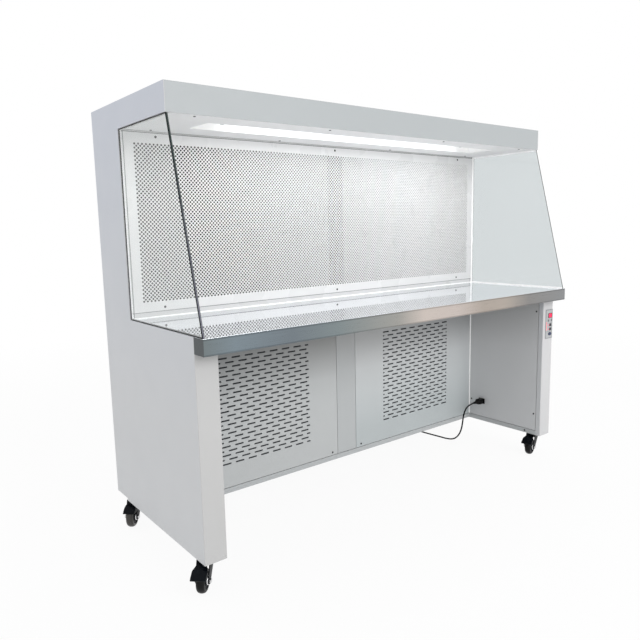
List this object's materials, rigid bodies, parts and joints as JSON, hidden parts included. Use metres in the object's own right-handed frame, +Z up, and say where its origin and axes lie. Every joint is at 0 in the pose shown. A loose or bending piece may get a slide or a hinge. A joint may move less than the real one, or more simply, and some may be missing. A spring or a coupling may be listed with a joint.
{
  "type": "laminar flow hood",
  "caption": "horizontal-flow clean bench on casters: perforated air outlet wall, glass sides, stainless worktop, slotted intake panels in the knee space and a leg control plate",
  "frame": {"origin": "on the floor, below the middle of the bench's box without its mains lead", "axes": "+X to the user's right along the bench, +Y to the back, +Z up"},
  "size_m": [1.8831, 0.8676, 1.487],
  "materials": {
    "painted_steel": "light grey powder coat, fine satin",
    "white_steel": "white enamel, semi-gloss",
    "stainless": "polished worktop, brushed edges",
    "galvanised": "plain zinc-coated sheet",
    "glass": "clear toughened glass with green edges",
    "lamp_glass": "coated lamp glass with metal caps",
    "white_plastic": "white moulded plastic",
    "sealant": "white silicone, smooth",
    "filter_frame": "extruded frame round a white pleated pack",
    "filter_pad": "dark open-cell intake pad",
    "motor_steel": "black painted",
    "plate_print": "pale blue-grey membrane plate with coloured fields",
    "display": "dark window with red digits",
    "button_grey": "grey",
    "button_dark": "dark grey",
    "button_blue": "blue",
    "board": "green board",
    "black_plastic": "black moulded, fine grain",
    "cord_jacket": "black flexible sheath",
    "tread": "grey moulded wheel with glossy tread",
    "fork_plastic": "black moulded",
    "bright_steel": "bright zinc-plated"
  },
  "bodies": {
    "cabinet": {"left_side_panel": "painted_steel", "right_side_panel": "painted_steel", "back_panel": "painted_steel", "canopy_cover": "painted_steel", "ceiling_panel": "white_steel", "lamp_reflector": "white_steel", "fluorescent_tube": "lamp_glass", "germicidal_tube": "lamp_glass", "lamp_holders": "white_plastic", "worktop": "stainless", "left_glass": "glass", "right_glass": "glass", "chamber_sealant": "sealant", "diffuser_panel": "white_steel", "diffuser_frame": "white_steel", "left_hepa_filter": "filter_frame", "right_hepa_filter": "filter_frame", "base_frame": "painted_steel", "left_leg_cover": "painted_steel", "right_leg_cover": "painted_steel", "centre_post": "painted_steel", "right_access_panel": "painted_steel", "left_access_panel": "painted_steel", "prefilters": "filter_pad", "blower_deck": "galvanised", "left_blower_housing": "galvanised", "right_blower_housing": "galvanised", "left_blower_motor": "motor_steel", "right_blower_motor": "motor_steel", "control_plate": "plate_print", "display_window": "display", "control_box": "board", "power_inlet": "black_plastic", "power_connector": "black_plastic", "power_cord": "cord_jacket", "cord_coil": "cord_jacket", "mains_plug": "black_plastic", "caster_plates": "bright_steel", "panel_screws": "bright_steel"},
    "front_left_swivel_body": {"caster_fl_fork": "fork_plastic", "caster_fl_axle": "bright_steel"},
    "front_left_wheel_body": {"caster_fl_wheel": "tread"},
    "front_left_pedal_body": {"caster_fl_pedal": "fork_plastic"},
    "front_right_swivel_body": {"caster_fr_fork": "fork_plastic", "caster_fr_axle": "bright_steel"},
    "front_right_wheel_body": {"caster_fr_wheel": "tread"},
    "front_right_pedal_body": {"caster_fr_pedal": "fork_plastic"},
    "rear_left_swivel_body": {"caster_rl_fork": "fork_plastic", "caster_rl_axle": "bright_steel"},
    "rear_left_wheel_body": {"caster_rl_wheel": "tread"},
    "rear_right_swivel_body": {"caster_rr_fork": "fork_plastic", "caster_rr_axle": "bright_steel"},
    "rear_right_wheel_body": {"caster_rr_wheel": "tread"},
    "select_button_body": {"select_button": "button_grey"},
    "set_button_body": {"set_button": "button_grey"},
    "fan_button_body": {"fan_button": "button_dark"},
    "lamp_button_body": {"lamp_button": "button_dark"},
    "power_button_body": {"power_button": "button_blue"},
    "left_impeller_body": {"left_impeller": "galvanised"},
    "right_impeller_body": {"right_impeller": "galvanised"}
  },
  "joints": [
    {"name": "front_left_swivel", "type": "hinge", "parent": "cabinet", "child": "front_left_swivel_body", "pos_m": [-0.866, -0.2545, 0.095], "axis": [0, 0, 1], "continuous": true},
    {"name": "front_left_wheel_spin", "type": "hinge", "parent": "front_left_swivel_body", "child": "front_left_wheel_body", "pos_m": [-0.89123, -0.28018, 0.0375], "axis": [0.7133, -0.7009, 0], "continuous": true},
    {"name": "front_left_brake", "type": "hinge", "parent": "front_left_swivel_body", "child": "front_left_pedal_body", "pos_m": [-0.87862, -0.26734, 0.083], "axis": [0.7133, -0.7009, 0], "range_deg": [0, 6.5]},
    {"name": "front_right_swivel", "type": "hinge", "parent": "cabinet", "child": "front_right_swivel_body", "pos_m": [0.866, -0.2545, 0.095], "axis": [0, 0, 1], "continuous": true},
    {"name": "front_right_wheel_spin", "type": "hinge", "parent": "front_right_swivel_body", "child": "front_right_wheel_body", "pos_m": [0.83115, -0.26351, 0.0375], "axis": [0.2504, -0.9681, 0], "continuous": true},
    {"name": "front_right_brake", "type": "hinge", "parent": "front_right_swivel_body", "child": "front_right_pedal_body", "pos_m": [0.84857, -0.25901, 0.083], "axis": [0.2504, -0.9681, 0], "range_deg": [0, 6.5]},
    {"name": "rear_left_swivel", "type": "hinge", "parent": "cabinet", "child": "rear_left_swivel_body", "pos_m": [-0.866, 0.2975, 0.095], "axis": [0, 0, 1], "continuous": true},
    {"name": "rear_left_wheel_spin", "type": "hinge", "parent": "rear_left_swivel_body", "child": "rear_left_wheel_body", "pos_m": [-0.88985, 0.27054, 0.0375], "axis": [0.749, -0.6626, 0], "continuous": true},
    {"name": "rear_right_swivel", "type": "hinge", "parent": "cabinet", "child": "rear_right_swivel_body", "pos_m": [0.866, 0.2975, 0.095], "axis": [0, 0, 1], "continuous": true},
    {"name": "rear_right_wheel_spin", "type": "hinge", "parent": "rear_right_swivel_body", "child": "rear_right_wheel_body", "pos_m": [0.90093, 0.30621, 0.0375], "axis": [-0.2419, 0.9703, 0], "continuous": true},
    {"name": "select_button_press", "type": "slide", "parent": "cabinet", "child": "select_button_body", "axis": [0, 1, 0], "range_m": [0, 0.0012], "stiffness_N_per_m": 150},
    {"name": "set_button_press", "type": "slide", "parent": "cabinet", "child": "set_button_body", "axis": [0, 1, 0], "range_m": [0, 0.0012], "stiffness_N_per_m": 150},
    {"name": "fan_button_press", "type": "slide", "parent": "cabinet", "child": "fan_button_body", "axis": [0, 1, 0], "range_m": [0, 0.0012], "stiffness_N_per_m": 150},
    {"name": "lamp_button_press", "type": "slide", "parent": "cabinet", "child": "lamp_button_body", "axis": [0, 1, 0], "range_m": [0, 0.0012], "stiffness_N_per_m": 150},
    {"name": "power_button_press", "type": "slide", "parent": "cabinet", "child": "power_button_body", "axis": [0, 1, 0], "range_m": [0, 0.0012], "stiffness_N_per_m": 150},
    {"name": "left_impeller_spin", "type": "hinge", "parent": "cabinet", "child": "left_impeller_body", "pos_m": [-0.43, 0.226, 0.56], "axis": [1, 0, 0], "continuous": true},
    {"name": "right_impeller_spin", "type": "hinge", "parent": "cabinet", "child": "right_impeller_body", "pos_m": [0.43, 0.226, 0.56], "axis": [1, 0, 0], "continuous": true}
  ]
}
